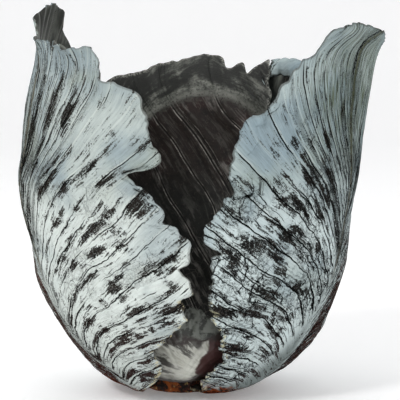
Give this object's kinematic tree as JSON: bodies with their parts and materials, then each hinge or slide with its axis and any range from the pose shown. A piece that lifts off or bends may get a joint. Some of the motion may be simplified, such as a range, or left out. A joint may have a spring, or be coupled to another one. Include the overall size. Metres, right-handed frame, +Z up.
{
  "type": "red cabbage",
  "caption": "Opened red cabbage: broad waxy wrapper leaves standing in a cup round a hollow heart, growing from a short cut stump that it stands on.",
  "frame": {"origin": "middle of the footprint of the whole cabbage, on the surface that it stands on, level with the stump's cut face", "axes": "+Z up along the heart, +X to the right and +Y to the back, seen from the side where the two big leaves part"},
  "size_m": [0.2064, 0.1906, 0.2141],
  "materials": {
    "bloomed_leaf": "matte",
    "dark_leaf": "satin",
    "pale_leaf_base": "satin",
    "cut_stem": "matte"
  },
  "bodies": {
    "root": {"stem_stump": "cut_stem", "left_leaf": "bloomed_leaf", "right_leaf": "bloomed_leaf", "back_leaf": "dark_leaf", "torn_front_leaf": "pale_leaf_base"}
  },
  "joints": []
}
